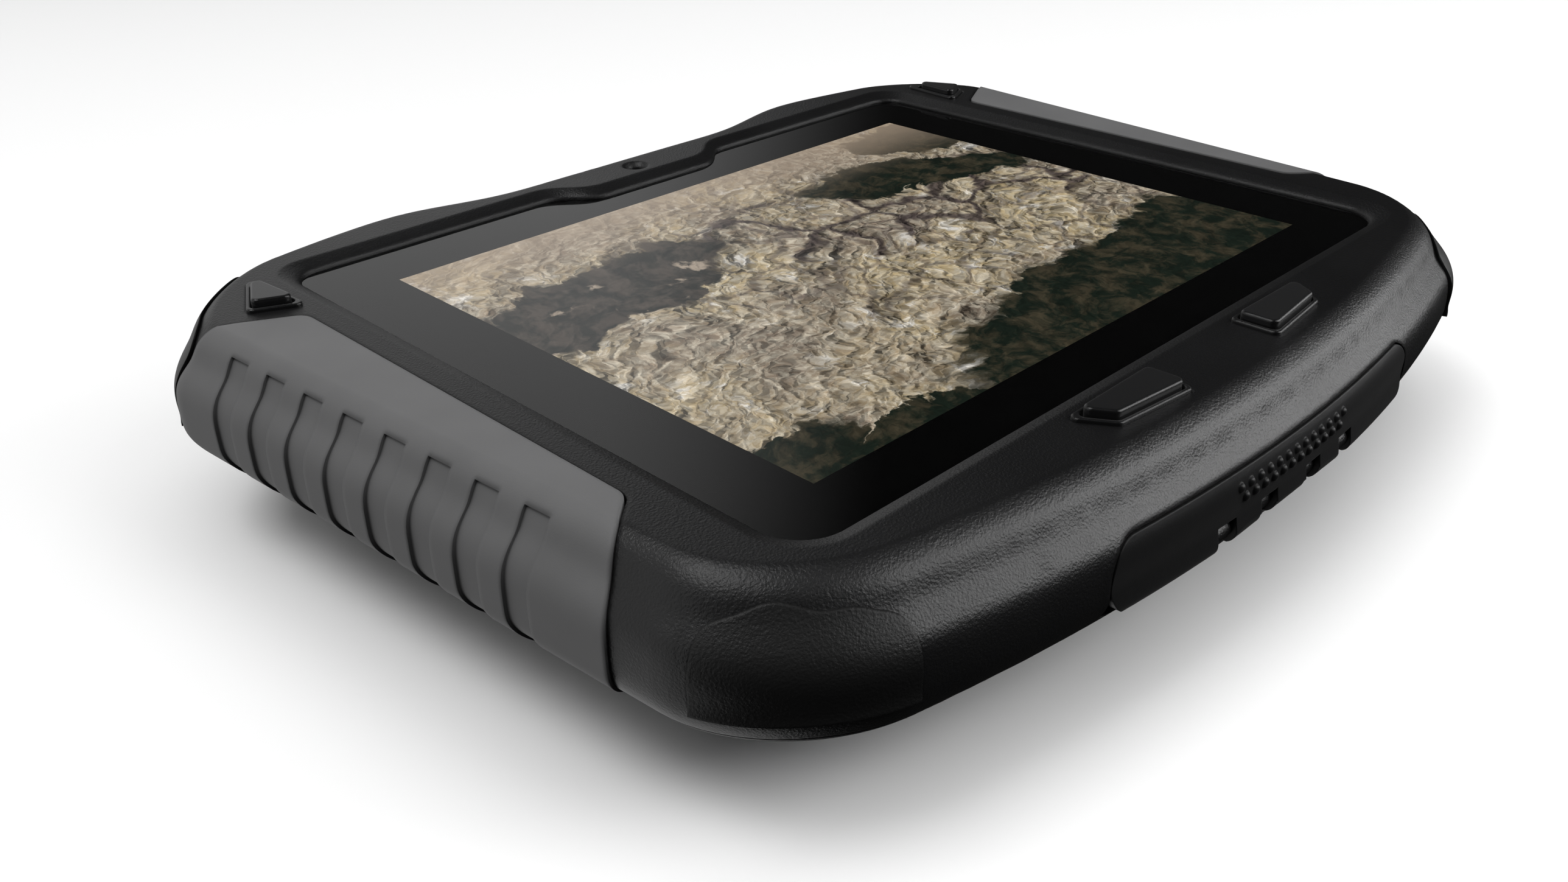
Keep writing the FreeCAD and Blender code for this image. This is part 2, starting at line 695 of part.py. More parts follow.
# ---------------------------------------------------------------- screen, keys and door

def touch_glass():
    return window_plate(GLASS_TOP - GLASS_THICK, GLASS_TOP, GLASS_LAP)


def glass_seal():
    ring = window_plate(GLASS_TOP - GLASS_THICK, GLASS_TOP, GLASS_LAP + SEAL_WIDTH)
    return largest(ring.cut(window_plate(GLASS_TOP - 2.0, GLASS_TOP + 1.0, GLASS_LAP)))


def display_panel():
    half_x, half_y = PICTURE[0] / 2 + DISPLAY_BORDER, PICTURE[1] / 2 + DISPLAY_BORDER
    top = GLASS_TOP - GLASS_THICK
    return rounded_plate(-half_x, half_x, -half_y, half_y, top - DISPLAY_THICK, top, 1.5)


def key(points):
    """A key cap: a button through the top face with a flange that stops it coming out."""
    cap = prism(points, FLANGE_TOP - 0.3, KEY_TOP, KEY_ROUND)
    rim = [e for e in cap.Edges if e.BoundBox.ZMin > KEY_TOP - 0.01]
    cap = cap.makeFillet(KEY_EDGE, rim)
    flange = prism(points, FLANGE_TOP - FLANGE_THICK, FLANGE_TOP, KEY_ROUND, FLANGE_WIDTH)
    return cap.fuse(flange).removeSplitter()


def key_collars():
    """The low step round each key, set into the top face."""
    rings = []
    for points in KEYS.values():
        ring = prism(points, TOP_FACE - 0.8, COLLAR_TOP, KEY_ROUND, COLLAR_WIDTH)
        rim = [e for e in ring.Edges if e.BoundBox.ZMin > COLLAR_TOP - 0.01]
        ring = ring.makeFillet(0.25, rim)
        rings.append(ring.cut(prism(points, TOP_FACE - 2.0, COLLAR_TOP + 1.0, KEY_ROUND, KEY_GAP)))
    return Part.makeCompound(rings)


def keypad_top():
    """The height of the boards under the keys: a dome and a clear gap below the flange."""
    return FLANGE_TOP - FLANGE_THICK - KEY_TRAVEL - KEY_GAP - DOME_THICK


def keypad_board():
    """One board under the two long keys and one under each corner key."""
    top = keypad_top()
    front = rounded_plate(-31.0, 31.0, PORT_WALL_Y + 0.4, -57.6, top - BOARD_THICK, top, 1.0)
    x, y = key_centre(CORNER_KEY)
    corner_board = rounded_plate(x - 4.5, x + 4.5, y - 6.5, y + 5.0, top - BOARD_THICK, top, 1.0)
    return Part.makeCompound([front, corner_board, mirrored(corner_board)])


def key_domes():
    domes = []
    for points in KEYS.values():
        x, y = key_centre(points)
        domes.append(Part.makeCone(DOME_RADIUS, DOME_RADIUS * 0.55, DOME_THICK, Vector(x, y, keypad_top())))
    return Part.makeCompound(domes)


def port_door():
    """The door: a curved strip with finger studs, hung on two barrels along its lower edge."""
    strip = door_strip().common(body(low=PARTING - 3.0)).cut(body(-DOOR_THICK, low=PARTING - 3.0))
    door = largest(strip)
    lower_edge = box(-DOOR_X, DOOR_X, -90.0, -60.0, 0.0, HINGE_Z)
    door = door.cut(lower_edge.cut(hinge_rod(HINGE_ROUND, -DOOR_X, DOOR_X)))
    for z, count in STUD_ROWS:
        for index in range(count):
            x = (index - (count - 1) / 2) * STUD_PITCH
            stud = Part.makeSphere(STUD_RADIUS, Vector(x, front_surface_y(z, x) + 0.25, z))
            door = door.fuse(stud)
    x0, x1 = BARREL
    door = door.fuse(both_sides(hinge_rod(BARREL_RADIUS, x0, x1)))
    for a, b in lug_spans():
        notch = box(a - DOOR_GAP, b + DOOR_GAP, -90.0, -60.0, 0.0, HINGE_Z + BARREL_RADIUS + KNUCKLE_GAP)
        door = door.cut(both_sides(notch))
    bore = hinge_rod(HINGE_PIN_RADIUS + HINGE_FIT, x0 - 0.2, x1 + 0.2)
    return largest(door.cut(both_sides(bore)))


def door_hinge_pins():
    spans = lug_spans()
    return both_sides(hinge_rod(HINGE_PIN_RADIUS, spans[0][0] + 0.2, spans[1][1] - 0.2))


# ---------------------------------------------------------------- inside

def chassis():
    """The metal tray that holds the display, with screw bosses down to the main board."""
    half_x, half_y = CHASSIS[0] / 2, CHASSIS[1] / 2
    tray = rounded_plate(-half_x, half_x, -half_y, half_y, CHASSIS_TOP - CHASSIS_THICK, CHASSIS_TOP, 3.0)
    for x, y in BOARD_SCREWS:
        for sx in (-1, 1):
            tray = tray.fuse(rod(2.8, CHASSIS_TOP - CHASSIS_THICK - BOARD_TOP, Vector(sx * x, y, BOARD_TOP)))
            tray = tray.cut(rod(1.0, 8.0, Vector(sx * x, y, BOARD_TOP - 1)))
    rim = rounded_plate(-half_x, half_x, -half_y, half_y, CHASSIS_TOP, CHASSIS_TOP + 2.4, 3.0)
    opening = rounded_plate(-half_x + 2.0, half_x - 2.0, -half_y + 2.0, half_y - 2.0, 0.0, 60.0, 2.0)
    return tray.fuse(rim.cut(opening)).removeSplitter()


def main_board():
    half_x, half_y = BOARD[0] / 2, BOARD[1] / 2
    board = rounded_plate(-half_x, half_x, -half_y, half_y, BOARD_TOP - MAIN_BOARD_THICK, BOARD_TOP, 2.0)
    front = SOCKET_Y + SOCKET_DEPTH + 0.1
    tongue = rounded_plate(-34.0, 34.0, front, -half_y + 2.0, BOARD_TOP - MAIN_BOARD_THICK, BOARD_TOP, 0.5)
    board = board.fuse(tongue).removeSplitter()
    for x, y in BOARD_SCREWS:
        board = board.cut(both_sides(rod(1.3, 10.0, Vector(x, y, BOARD_TOP - 5.0))))
    return board


def chip_shields():
    """Three pressed cans over the radio, the processor and the power stage."""
    top = BOARD_TOP - MAIN_BOARD_THICK
    cans = []
    for x0, x1, y0, y1 in [(-40.0, -12.0, 8.0, 34.0), (-4.0, 26.0, 12.0, 38.0), (34.0, 50.0, 10.0, 32.0)]:
        cans.append(rounded_plate(x0, x1, y0, y1, top - 2.2, top, 1.0))
    return Part.makeCompound(cans)


def heat_spreader():
    return rounded_plate(-30.0, 36.0, -18.0, 34.0, BOARD_TOP, CHASSIS_TOP - CHASSIS_THICK, 4.0)


def gnss_antenna():
    return rounded_plate(32.0, 45.0, 52.0, 60.0, 22.5, 26.5, 0.6)


def radio_antenna():
    return box(-52.0, -20.0, 56.6, 57.2, 17.5, 26.5)


def coin_cell():
    return rod(6.25, 2.0, Vector(44.0, -20.0, BOARD_TOP - MAIN_BOARD_THICK - 2.0))


def display_flex():
    """The flat cable from the display's edge, round the tray, down to the main board."""
    edge = -PICTURE[1] / 2 - DISPLAY_BORDER
    outside = -CHASSIS[1] / 2 - 1.0
    top = GLASS_TOP - GLASS_THICK - 0.5
    over = box(-FLEX_X, FLEX_X, outside, edge, top - FLEX_THICK, top)
    down = box(-FLEX_X, FLEX_X, outside, outside + FLEX_THICK, BOARD_TOP, top)
    return over.fuse(down).removeSplitter()


def socket_shell(x0, x1, z0, z1, wall, radius):
    """A metal socket, open at the front, with a wall all round and a back."""
    depth = SOCKET_DEPTH
    outer = rounded_plate(x0, x1, z0, z1, 0, depth, radius)
    inner = rounded_plate(x0 + wall, x1 - wall, z0 + wall, z1 - wall, -1, depth - wall, radius - wall)
    end = 3 * wall + 0.4
    tongue = box(x0 + end, x1 - end, -SOCKET_TONGUE / 2, SOCKET_TONGUE / 2, 1.0, depth)
    shell = outer.cut(inner).fuse(tongue)
    shell.rotate(Vector(0, 0, 0), Vector(1, 0, 0), -90)
    shell.translate(Vector(0, SOCKET_Y, PORT_Z))
    return shell


def usb_a_port():
    return socket_shell(USB_A_X - 6.7, USB_A_X + 6.7, -2.9, 2.9, 0.35, 0.5)


def usb_c_port():
    return socket_shell(USB_C_X - 4.5, USB_C_X + 4.5, -1.65, 1.65, 0.3, 1.6)


def power_jack():
    along = Vector(0, 1, 0)
    barrel = rod(3.0, SOCKET_DEPTH, Vector(POWER_X, SOCKET_Y, PORT_Z), along)
    hollow = rod(2.6, SOCKET_DEPTH - 2.0, Vector(POWER_X, SOCKET_Y, PORT_Z), along)
    centre_pin = rod(0.8, SOCKET_DEPTH - 2.0, Vector(POWER_X, SOCKET_Y + 1.0, PORT_Z), along)
    return barrel.cut(hollow).fuse(centre_pin)


def battery_pack():
    x0, x1, y0, y1 = BATTERY_BAY
    return rounded_plate(x0 + 0.5, x1 - 0.5, y0 + 0.5, y1 - 0.5, BATTERY_BOTTOM, BATTERY_TOP, 3.0)


def battery_contacts():
    pins = []
    for x in contact_places():
        spring = rod(0.8, BAY_TOP + LINER_WALL - BATTERY_TOP + 0.4, Vector(x, CONTACT_Y, BATTERY_TOP))
        pins.append(spring)
    return Part.makeCompound(pins)


def speaker():
    x, y = SPEAKER
    basket = rod(SPEAKER_RADIUS, 1.8, Vector(x, y, 2.8))
    magnet = rod(5.0, 3.2, Vector(x, y, 4.6))
    return basket.fuse(magnet).removeSplitter()


def speaker_membrane():
    return rod(SPEAKER_RADIUS, 0.2, Vector(SPEAKER[0], SPEAKER[1], 2.6))


def housing_screws():
    """Eight socket-headed screws that go up through the rear shell into the front one."""
    screws = []
    low = SCREW_SEAT - SCREW_HEAD_THICK
    for x, y in SCREWS:
        head = rod(SCREW_HEAD_RADIUS, SCREW_HEAD_THICK, Vector(x, y, low))
        shank = rod(SCREW_RADIUS, SCREW_LENGTH, Vector(x, y, SCREW_SEAT))
        turns = [math.radians(60 * side) for side in range(6)]
        hexagon = [(x + SCREW_RADIUS * math.cos(a), y + SCREW_RADIUS * math.sin(a)) for a in turns]
        screws.append(both_sides(head.fuse(shank).cut(prism(hexagon, low - 1.0, low + 1.4))))
    return Part.makeCompound([screw for group in screws for screw in group.Solids])


def board_screws():
    screws = []
    for x, y in BOARD_SCREWS:
        head = rod(2.0, 1.3, Vector(x, y, BOARD_TOP - MAIN_BOARD_THICK - 1.3))
        shank = rod(1.0, 4.8, Vector(x, y, BOARD_TOP - MAIN_BOARD_THICK))
        socket = rod(0.7, 0.7, Vector(x, y, BOARD_TOP - MAIN_BOARD_THICK - 1.4))
        screws.append(both_sides(head.fuse(shank).cut(socket)))
    return Part.makeCompound([s for group in screws for s in group.Solids])


def mount_inserts():
    inserts = []
    for sx in (-1, 1):
        for sy in (-1, 1):
            sleeve = rod(INSERT_RADIUS, INSERT_DEPTH, insert_place(sx, sy, BACK_FACE))
            inserts.append(sleeve.cut(rod(INSERT_HOLE, INSERT_DEPTH - 1.0, insert_place(sx, sy, BACK_FACE))))
    return Part.makeCompound(inserts)


# ---------------------------------------------------------------- write every piece

def pieces():
    left_grip = grip()
    front_pad = corner_pad(FRONT_PAD_EDGE)
    rear_pad = corner_pad(REAR_PAD_EDGE)
    latch = battery_latch()
    result = {
        "front_housing": front_shell(),
        "rear_housing": rear_shell(),
        "housing_gasket": gasket_ring(),
        "left_grip": left_grip,
        "right_grip": mirrored(left_grip),
        "corner_pad_front_left": front_pad,
        "corner_pad_front_right": mirrored(front_pad),
        "corner_pad_rear_left": rear_pad,
        "corner_pad_rear_right": mirrored(rear_pad),
        "touch_glass": touch_glass(),
        "glass_seal": glass_seal(),
        "display_panel": display_panel(),
        "display_flex": display_flex(),
        "key_collars": key_collars(),
        "keypad_board": keypad_board(),
        "key_domes": key_domes(),
        "port_door": port_door(),
        "door_hinge_pins": door_hinge_pins(),
        "usb_a_port": usb_a_port(),
        "usb_c_port": usb_c_port(),
        "power_jack": power_jack(),
        "chassis": chassis(),
        "main_board": main_board(),
        "chip_shields": chip_shields(),
        "heat_spreader": heat_spreader(),
        "gnss_antenna": gnss_antenna(),
        "radio_antenna": radio_antenna(),
        "coin_cell": coin_cell(),
        "speaker": speaker(),
        "speaker_membrane": speaker_membrane(),
        "battery_pack": battery_pack(),
        "battery_contacts": battery_contacts(),
        "battery_door": battery_door(),
        "battery_seal": battery_seal(),
        "battery_latch_left": mirrored(latch),
        "battery_latch_right": latch,
        "housing_screws": housing_screws(),
        "board_screws": board_screws(),
        "mount_inserts": mount_inserts(),
    }
    for name, points in KEYS.items():
        result[name] = key(points)
    return result


os.makedirs("parts", exist_ok=True)
for name, shape in pieces().items():
    only_solids(shape).exportStep(f"parts/{name}.step")
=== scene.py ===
import math

import bpy
from mathutils import Matrix, Vector


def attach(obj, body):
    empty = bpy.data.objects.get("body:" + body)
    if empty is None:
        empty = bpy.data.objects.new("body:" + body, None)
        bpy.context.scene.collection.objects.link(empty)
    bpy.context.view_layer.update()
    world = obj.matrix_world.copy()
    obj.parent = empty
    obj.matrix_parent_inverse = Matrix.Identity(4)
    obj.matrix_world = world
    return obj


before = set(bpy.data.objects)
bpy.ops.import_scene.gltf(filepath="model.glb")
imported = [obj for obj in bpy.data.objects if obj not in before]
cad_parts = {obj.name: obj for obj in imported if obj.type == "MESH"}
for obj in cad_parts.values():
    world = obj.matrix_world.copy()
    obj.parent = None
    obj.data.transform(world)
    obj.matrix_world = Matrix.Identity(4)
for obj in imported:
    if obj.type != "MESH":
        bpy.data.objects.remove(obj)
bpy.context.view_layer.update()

bpy.ops.object.select_all(action="DESELECT")


# ---- Studio ----
# A pale sweep of paper under the instrument, one wide soft light overhead, four
# smaller panels on its left and front, and a dim wall far behind on the left.

def add_camera(place, forward, roll, lens):
    camera = bpy.data.cameras.new("studio_camera")
    camera.sensor_width = 36.0
    camera.lens = lens
    camera.clip_start = 0.01
    holder = bpy.data.objects.new("studio_camera", camera)
    bpy.context.scene.collection.objects.link(holder)
    forward = Vector(forward).normalized()
    level = forward.cross(Vector((0, 0, 1))).normalized()
    right = Matrix.Rotation(roll, 3, forward) @ level
    up = right.cross(forward)
    holder.matrix_world = Matrix.Translation(place) @ Matrix((right, up, -forward)).transposed().to_4x4()
    bpy.context.scene.camera = holder


def soft_panel(name, place, aim, width, height, power):
    light = bpy.data.lights.new(name, "AREA")
    light.shape = "RECTANGLE"
    light.size = width
    light.size_y = height
    light.energy = power
    holder = bpy.data.objects.new(name, light)
    bpy.context.scene.collection.objects.link(holder)
    holder.location = place
    holder.rotation_euler = (Vector(aim) - Vector(place)).to_track_quat("-Z", "Y").to_euler()
    return holder


def hang_far_wall(air):
    """A grey wall behind the left that fades out to the right and overhead; the cover glass mirrors it."""
    wall_starts, wall_full = math.radians(40), math.radians(55)
    wall_strength, air_strength = 0.56, 0.012
    dark_overhead, dark_begins = 0.75, 0.50
    shader, links = air.nodes, air.links
    direction = shader.new("ShaderNodeTexCoord")
    split = shader.new("ShaderNodeSeparateXYZ")
    links.new(direction.outputs["Generated"], split.inputs[0])
    bearing = shader.new("ShaderNodeMath")
    bearing.operation = "ARCTAN2"
    links.new(split.outputs["Y"], bearing.inputs[0])
    links.new(split.outputs["X"], bearing.inputs[1])
    fade = shader.new("ShaderNodeMapRange")
    fade.interpolation_type = "SMOOTHSTEP"
    fade.inputs["From Min"].default_value = wall_starts
    fade.inputs["From Max"].default_value = wall_full
    fade.inputs["To Min"].default_value = air_strength
    fade.inputs["To Max"].default_value = wall_strength
    links.new(bearing.outputs[0], fade.inputs["Value"])
    top = shader.new("ShaderNodeMapRange")
    top.interpolation_type = "SMOOTHSTEP"
    top.inputs["From Min"].default_value = dark_overhead
    top.inputs["From Max"].default_value = dark_begins
    links.new(split.outputs["Z"], top.inputs["Value"])
    strength = shader.new("ShaderNodeMath")
    strength.operation = "MULTIPLY"
    links.new(fade.outputs["Result"], strength.inputs[0])
    links.new(top.outputs["Result"], strength.inputs[1])
    links.new(strength.outputs[0], shader["Background"].inputs["Strength"])
    shader["Background"].inputs["Color"].default_value = (1.0, 1.0, 1.0, 1.0)


camera_place = (-0.154077, -0.136510, 0.111130)
camera_forward = (0.61573, 0.61925, -0.48724)
camera_roll = math.radians(0.8)
camera_lens = 31.25
add_camera(camera_place, camera_forward, camera_roll, camera_lens)
overhead = soft_panel("overhead_panel", (-0.1, -0.1, 1.3), (0, 0, 0), 2.2, 2.2, 25.0)
overhead.visible_glossy = False
soft_panel("left_panel", (-0.45, 0.15, 0.95), (-0.08, 0, 0.02), 0.5, 0.4, 3.6)
soft_panel("front_high_panel", (0.35, -0.80, 0.75), (0, 0, 0.02), 0.5, 0.5, 3.3)
soft_panel("front_panel", (0.70, -0.72, 0.46), (0, 0, 0.02), 0.6, 0.35, 3.6)
soft_panel("front_low_panel", (0.95, -0.45, 0.20), (0, 0, 0.02), 0.4, 0.25, 1.2)

studio_air = bpy.data.worlds.new("studio_air")
bpy.context.scene.world = studio_air
studio_air.use_nodes = True
hang_far_wall(studio_air.node_tree)
bpy.context.scene.view_settings.view_transform = "Standard"

paper_white = (0.80, 0.80, 0.80, 1.0)
paper = bpy.data.materials.new("studio_paper")
paper.use_nodes = True
paper.node_tree.nodes["Principled BSDF"].inputs["Base Color"].default_value = paper_white
paper.node_tree.nodes["Principled BSDF"].inputs["Roughness"].default_value = 0.9
bpy.ops.mesh.primitive_plane_add(size=8.0, location=(0, 0, 0))
bpy.context.object.name = "studio_floor"
bpy.context.object.data.materials.append(paper)
# the paper throws no light back up at the dark underside
bpy.context.object.visible_diffuse = False
bpy.context.object.visible_glossy = False
bpy.ops.object.select_all(action="DESELECT")


# ---- Rear shell and battery cover ----
# Injection-moulded black nylon. The mould's etched surface leaves a fine leather
# grain on every outer face, and its tone and gloss drift a little from place to place.

def start_material(name, colour, roughness):
    material = bpy.data.materials.new(name)
    material.use_nodes = True
    shader = material.node_tree.nodes["Principled BSDF"]
    shader.inputs["Base Color"].default_value = (*colour, 1.0)
    shader.inputs["Roughness"].default_value = roughness
    return material, shader


def dulled(material, shine):
    """The same material with a weaker surface reflection."""
    material.node_tree.nodes["Principled BSDF"].inputs["Specular IOR Level"].default_value = shine
    return material


def texture(material, kind, scale, stretch=(1.0, 1.0, 1.0), **settings):
    """A texture laid on the piece's own coordinates, in metres, and stretched along its axes."""
    tree = material.node_tree
    place = tree.nodes.new("ShaderNodeTexCoord")
    mapping = tree.nodes.new("ShaderNodeMapping")
    mapping.inputs["Scale"].default_value = stretch
    tree.links.new(place.outputs["Object"], mapping.inputs["Vector"])
    pattern = tree.nodes.new("ShaderNodeTex" + kind)
    for setting, value in settings.items():
        setattr(pattern, setting, value)
    pattern.inputs["Scale"].default_value = scale
    tree.links.new(mapping.outputs["Vector"], pattern.inputs["Vector"])
    return pattern


def vary(material, shader, pattern, colour, change, roughness, swing):
    """Lets a soft pattern drift the colour and the roughness about their middle values."""
    tree = material.node_tree
    ramp = tree.nodes.new("ShaderNodeValToRGB")
    ramp.color_ramp.elements[0].position = 0.3
    ramp.color_ramp.elements[1].position = 0.7
    ramp.color_ramp.elements[0].color = (*(c * (1 - change) for c in colour), 1.0)
    ramp.color_ramp.elements[1].color = (*(c * (1 + change) for c in colour), 1.0)
    tree.links.new(pattern.outputs[0], ramp.inputs["Fac"])
    tree.links.new(ramp.outputs["Color"], shader.inputs["Base Color"])
    polish = tree.nodes.new("ShaderNodeMapRange")
    polish.inputs["To Min"].default_value = roughness - swing
    polish.inputs["To Max"].default_value = roughness + swing
    tree.links.new(pattern.outputs[0], polish.inputs["Value"])
    tree.links.new(polish.outputs["Result"], shader.inputs["Roughness"])


def emboss(material, shader, layers, edge=0.0):
    """Stacks bumps, each (pattern output, depth in metres), over edges softened to a radius."""
    tree = material.node_tree
    normal = None
    if edge:
        soft = tree.nodes.new("ShaderNodeBevel")
        soft.samples = 4
        soft.inputs["Radius"].default_value = edge
        normal = soft.outputs["Normal"]
    for height, depth in layers:
        bump = tree.nodes.new("ShaderNodeBump")
        bump.inputs["Distance"].default_value = depth
        tree.links.new(height, bump.inputs["Height"])
        if normal is not None:
            tree.links.new(normal, bump.inputs["Normal"])
        normal = bump.outputs["Normal"]
    tree.links.new(normal, shader.inputs["Normal"])


leather_cell = 0.00032


def grained_nylon(name, colour, roughness, depth, edge):
    material, shader = start_material(name, colour, roughness)
    drift = texture(material, "Noise", 45.0)
    vary(material, shader, drift, colour, 0.14, roughness, 0.05)
    leather = texture(material, "Voronoi", 1.0 / leather_cell, feature="SMOOTH_F1")
    pores = texture(material, "Noise", 2.2 / leather_cell)
    pores.inputs["Detail"].default_value = 3.0
    emboss(material, shader, [(leather.outputs["Distance"], depth), (pores.outputs[0], depth * 0.8)], edge)
    return material


def finish_nodes(material, *names):
    for name in names:
        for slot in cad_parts[name].material_slots:
            slot.material = material


shell_black = grained_nylon("shell_black", (0.004, 0.004, 0.0042), 0.42, 0.00004, 0.0005)
finish_nodes(dulled(shell_black, 0.2), "rear_housing", "battery_door")


# ---- Battery latches ----
# Two turn-buttons of grey glass-filled nylon in the battery cover, with a coin
# slot across each. Their grey drifts softly in tone and gloss.

def turned_nylon(name, colour, roughness):
    material, shader = start_material(name, colour, roughness)
    cloud = texture(material, "Noise", 300.0)
    vary(material, shader, cloud, colour, 0.25, roughness, 0.08)
    rings = texture(material, "Wave", 900.0, wave_type="RINGS", rings_direction="Z")
    emboss(material, shader, [(rings.outputs[0], 0.00001), (cloud.outputs[0], 0.00002)], 0.0003)
    return material


latch_grey = turned_nylon("latch_grey", (0.10, 0.10, 0.105), 0.5)
finish_nodes(latch_grey, "battery_latch_left", "battery_latch_right")


# ---- Screws, inserts and other metal parts ----
# Zinc-plated steel screws and pins, knurled brass sleeves pressed into the back,
# and stamped socket shells. Fine brushing and a little tarnish on each.

def worked_metal(name, colour, roughness, grain, stretch):
    material, shader = start_material(name, colour, roughness)
    shader.inputs["Metallic"].default_value = 1.0
    tarnish = texture(material, "Noise", 180.0)
    tarnish.inputs["Detail"].default_value = 5.0
    vary(material, shader, tarnish, colour, 0.16, roughness, 0.09)
    brushing = texture(material, "Noise", grain, stretch)
    emboss(material, shader, [(brushing.outputs[0], 0.00001)], 0.00015)
    return material


plated_steel = worked_metal("plated_steel", (0.56, 0.56, 0.57), 0.3, 3000.0, (1.0, 1.0, 0.1))
finish_nodes(plated_steel, "housing_screws", "board_screws", "door_hinge_pins", "usb_a_port", "usb_c_port",
             "power_jack", "coin_cell", "key_domes")
turned_brass = worked_metal("turned_brass", (0.70, 0.53, 0.25), 0.28, 2500.0, (1.0, 1.0, 0.05))
finish_nodes(turned_brass, "mount_inserts")
gold_plate = worked_metal("gold_plate", (0.83, 0.64, 0.26), 0.2, 2500.0, (1.0, 1.0, 0.3))
finish_nodes(gold_plate, "battery_contacts")
tinned_cans = worked_metal("tinned_cans", (0.62, 0.62, 0.61), 0.36, 1500.0, (0.1, 1.0, 1.0))
finish_nodes(tinned_cans, "chip_shields")
rolled_copper = worked_metal("rolled_copper", (0.72, 0.40, 0.27), 0.32, 1800.0, (0.06, 1.0, 1.0))
finish_nodes(rolled_copper, "heat_spreader")
cast_magnesium = worked_metal("cast_magnesium", (0.48, 0.48, 0.49), 0.55, 900.0, (1.0, 1.0, 1.0))
finish_nodes(cast_magnesium, "chassis")


# ---- Battery, boards and small inner parts ----
# The cell is wrapped in dark shrink film. The boards are green solder mask over
# copper tracks, with an amber flat cable, a ceramic antenna and a cone speaker.

def shrink_film(name, colour, roughness):
    material, shader = start_material(name, colour, roughness)
    cloud = texture(material, "Noise", 60.0)
    vary(material, shader, cloud, colour, 0.2, roughness, 0.06)
    creases = texture(material, "Noise", 120.0, (0.15, 1.0, 1.0))
    creases.inputs["Detail"].default_value = 4.0
    emboss(material, shader, [(creases.outputs[0], 0.00012)], 0.0004)
    return material


def solder_mask(name, colour, roughness):
    material, shader = start_material(name, colour, roughness)
    tracks = texture(material, "Brick", 260.0)
    tracks.inputs["Color1"].default_value = (*colour, 1.0)
    tracks.inputs["Color2"].default_value = (*(c * 0.8 for c in colour), 1.0)
    tracks.inputs["Mortar"].default_value = (*(c * 1.9 for c in colour), 1.0)
    tracks.inputs["Mortar Size"].default_value = 0.03
    material.node_tree.links.new(tracks.outputs["Color"], shader.inputs["Base Color"])
    weave = texture(material, "Noise", 900.0)
    emboss(material, shader, [(tracks.outputs["Fac"], 0.00003), (weave.outputs[0], 0.00001)])
    return material


def plain_moulding(name, colour, roughness):
    material, shader = start_material(name, colour, roughness)
    cloud = texture(material, "Noise", 220.0)
    vary(material, shader, cloud, colour, 0.15, roughness, 0.06)
    emboss(material, shader, [(cloud.outputs[0], 0.00003)], 0.0002)
    return material


finish_nodes(shrink_film("battery_wrap", (0.045, 0.06, 0.11), 0.32), "battery_pack")
finish_nodes(solder_mask("board_green", (0.02, 0.11, 0.05), 0.34), "main_board", "keypad_board")
finish_nodes(shrink_film("flex_amber", (0.45, 0.22, 0.05), 0.25), "display_flex", "radio_antenna")
finish_nodes(plain_moulding("fired_ceramic", (0.74, 0.70, 0.62), 0.3), "gnss_antenna")
finish_nodes(plain_moulding("speaker_grey", (0.09, 0.09, 0.09), 0.5), "speaker")
finish_nodes(plain_moulding("seal_rubber", (0.014, 0.014, 0.014), 0.62), "housing_gasket", "glass_seal",
             "battery_seal", "speaker_membrane")


# ---- Front shell ----
# The same grained nylon as the back, in one moulding with the raised rim round
# the glass, the eyelet tab and the sloping front.

front_black = grained_nylon("front_black", (0.005, 0.005, 0.0052), 0.37, 0.000045, 0.0009)
finish_nodes(front_black, "front_housing")


# ---- Corner pads ----
# Four elastomer bumpers with the shell's own grain, standing a little proud of
# it. Their rims are rounded and they hold slightly more dust in the grain.

pad_black = grained_nylon("pad_black", (0.0055, 0.0055, 0.0055), 0.42, 0.000045, 0.0004)
dulled(pad_black, 0.4)
for corner in ("front_left", "front_right", "rear_left", "rear_right"):
    finish_nodes(pad_black, "corner_pad_" + corner)


# ---- Side grips ----
# Dark grey soft-touch skins overmoulded on both sides, with eight finger grooves
# each. The skin is velvety, without grain, and only very faintly mottled.

def soft_touch(name, colour, roughness, edge):
    material, shader = start_material(name, colour, roughness)
    shader.inputs["Sheen Weight"].default_value = 0.05
    shader.inputs["Sheen Roughness"].default_value = 0.5
    cloud = texture(material, "Noise", 80.0)
    cloud.inputs["Detail"].default_value = 4.0
    vary(material, shader, cloud, colour, 0.07, roughness, 0.04)
    velvet = texture(material, "Noise", 5200.0)
    emboss(material, shader, [(velvet.outputs[0], 0.000012)], edge)
    return material


grip_grey = soft_touch("grip_grey", (0.088, 0.088, 0.089), 0.55, 0.0010)
finish_nodes(grip_grey, "left_grip", "right_grip")


# ---- Keys and their collars ----
# Satin silicone caps, two long ones at the front and a small one in each rear
# corner, each in a raised collar. The moulded edges catch a thin line of light.

key_black = soft_touch("key_black", (0.003, 0.003, 0.0032), 0.24, 0.00035)
finish_nodes(key_black, "key_left", "key_right", "key_up_left", "key_up_right", "key_collars")


# ---- Port door ----
# A curved strip of smooth black elastomer on a hinge below the front, with two
# rows of small studs so that a gloved finger can find it.

door_black = soft_touch("door_black", (0.003, 0.003, 0.0032), 0.34, 0.0003)
finish_nodes(dulled(door_black, 0.22), "port_door")


# ---- Display ----
# A backlit outdoor panel that shows an aerial view of dry, eroded plateaus with
# dark woods and a branching gorge. The view is drawn by the material alone.

